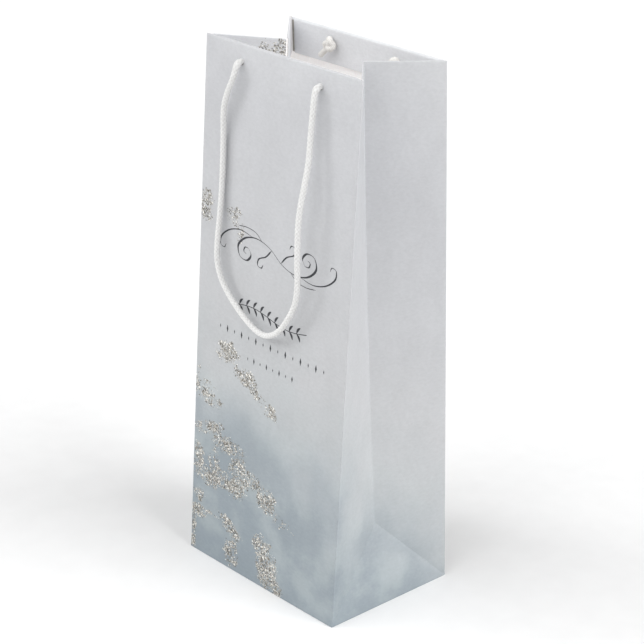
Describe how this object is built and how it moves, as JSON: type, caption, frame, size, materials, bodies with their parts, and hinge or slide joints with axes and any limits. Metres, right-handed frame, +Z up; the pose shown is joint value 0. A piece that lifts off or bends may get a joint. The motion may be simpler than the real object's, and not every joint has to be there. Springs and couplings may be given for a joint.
{
  "type": "wine gift bag",
  "caption": "Tall square-bottomed paper gift bag for one bottle, with folded side gussets, a stiffened turned-in hem and two knotted cord handles.",
  "frame": {"origin": "middle of the base, on the surface the bag stands on", "axes": "+Z up to the mouth, +X across the width to the right-hand gusset, -Y out of the front panel"},
  "size_m": [0.127, 0.0942, 0.3181],
  "materials": {
    "printed_paper": "matte",
    "plain_paper": "matte",
    "grey_card": "matte",
    "cord": "matte"
  },
  "bodies": {
    "base": {"front_lower_band": "printed_paper", "back_lower_band": "printed_paper", "right_base_triangle": "printed_paper", "left_base_triangle": "printed_paper", "right_front_corner_facet": "printed_paper", "right_back_corner_facet": "printed_paper", "left_front_corner_facet": "printed_paper", "left_back_corner_facet": "printed_paper", "base_back_flap": "printed_paper", "base_front_flap": "printed_paper", "base_right_flap": "plain_paper", "base_left_flap": "plain_paper", "base_card": "grey_card"},
    "front_wall": {"front_panel": "printed_paper", "front_hem_card": "grey_card", "front_hem": "printed_paper", "front_knot_left": "cord", "front_knot_right": "cord"},
    "back_wall": {"back_panel": "printed_paper", "back_seam_strip": "plain_paper", "back_hem_card": "grey_card", "back_hem": "printed_paper", "back_knot_left": "cord", "back_knot_right": "cord"},
    "right_front_gusset": {"right_gusset_front": "printed_paper", "right_gusset_hem_front": "printed_paper"},
    "right_back_gusset": {"right_gusset_back": "printed_paper", "right_gusset_hem_back": "printed_paper"},
    "left_front_gusset": {"left_gusset_front": "printed_paper", "left_gusset_hem_front": "printed_paper"},
    "left_back_gusset": {"left_gusset_back": "printed_paper", "left_gusset_hem_back": "printed_paper"},
    "front_handle": {"front_handle_cord": "cord"},
    "back_handle": {"back_handle_cord": "cord"}
  },
  "joints": [
    {"name": "mouth_squeeze", "type": "hinge", "parent": "base", "child": "front_wall", "pos_m": [0, -0.04383, 0.046], "axis": [-1, 0, 0], "range_deg": [-1.7, 3.9], "stiffness_Nm_per_rad": 1.2},
    {"name": "back_wall_squeeze", "type": "hinge", "parent": "base", "child": "back_wall", "pos_m": [0, 0.04383, 0.046], "axis": [1, 0, 0], "range_deg": [-1.7, 3.9]},
    {"name": "right_front_gusset_fold", "type": "hinge", "parent": "front_wall", "child": "right_front_gusset", "pos_m": [0.0495, -0.04383, 0.046], "axis": [0.8372, -0.5466, -0.0186], "range_deg": [-2.04, 4.67], "deforming": ["right_gusset_front", "right_gusset_hem_front"]},
    {"name": "right_back_gusset_fold", "type": "hinge", "parent": "back_wall", "child": "right_back_gusset", "pos_m": [0.0495, 0.04383, 0.046], "axis": [-0.8372, -0.5466, 0.0186], "range_deg": [-2.04, 4.67], "deforming": ["right_gusset_back", "right_gusset_hem_back"]},
    {"name": "left_front_gusset_fold", "type": "hinge", "parent": "front_wall", "child": "left_front_gusset", "pos_m": [-0.0495, -0.04383, 0.046], "axis": [0.8372, 0.5466, 0.0186], "range_deg": [-2.04, 4.67], "deforming": ["left_gusset_front", "left_gusset_hem_front"]},
    {"name": "left_back_gusset_fold", "type": "hinge", "parent": "back_wall", "child": "left_back_gusset", "pos_m": [-0.0495, 0.04383, 0.046], "axis": [-0.8372, 0.5466, -0.0186], "range_deg": [-2.04, 4.67], "deforming": ["left_gusset_back", "left_gusset_hem_back"]},
    {"name": "front_handle_swing", "type": "hinge", "parent": "front_wall", "child": "front_handle", "pos_m": [0, -0.03547, 0.3082], "axis": [-1, 0, 0], "range_deg": [0, 170]},
    {"name": "back_handle_swing", "type": "hinge", "parent": "back_wall", "child": "back_handle", "pos_m": [0, 0.03547, 0.3082], "axis": [1, 0, 0], "range_deg": [0, 170]}
  ],
  "couplings": [
    {"joint": "back_wall_squeeze", "follows": "mouth_squeeze", "ratio": 1},
    {"joint": "right_front_gusset_fold", "follows": "mouth_squeeze", "ratio": 1.1943},
    {"joint": "right_back_gusset_fold", "follows": "mouth_squeeze", "ratio": 1.1943},
    {"joint": "left_front_gusset_fold", "follows": "mouth_squeeze", "ratio": 1.1943},
    {"joint": "left_back_gusset_fold", "follows": "mouth_squeeze", "ratio": 1.1943}
  ]
}
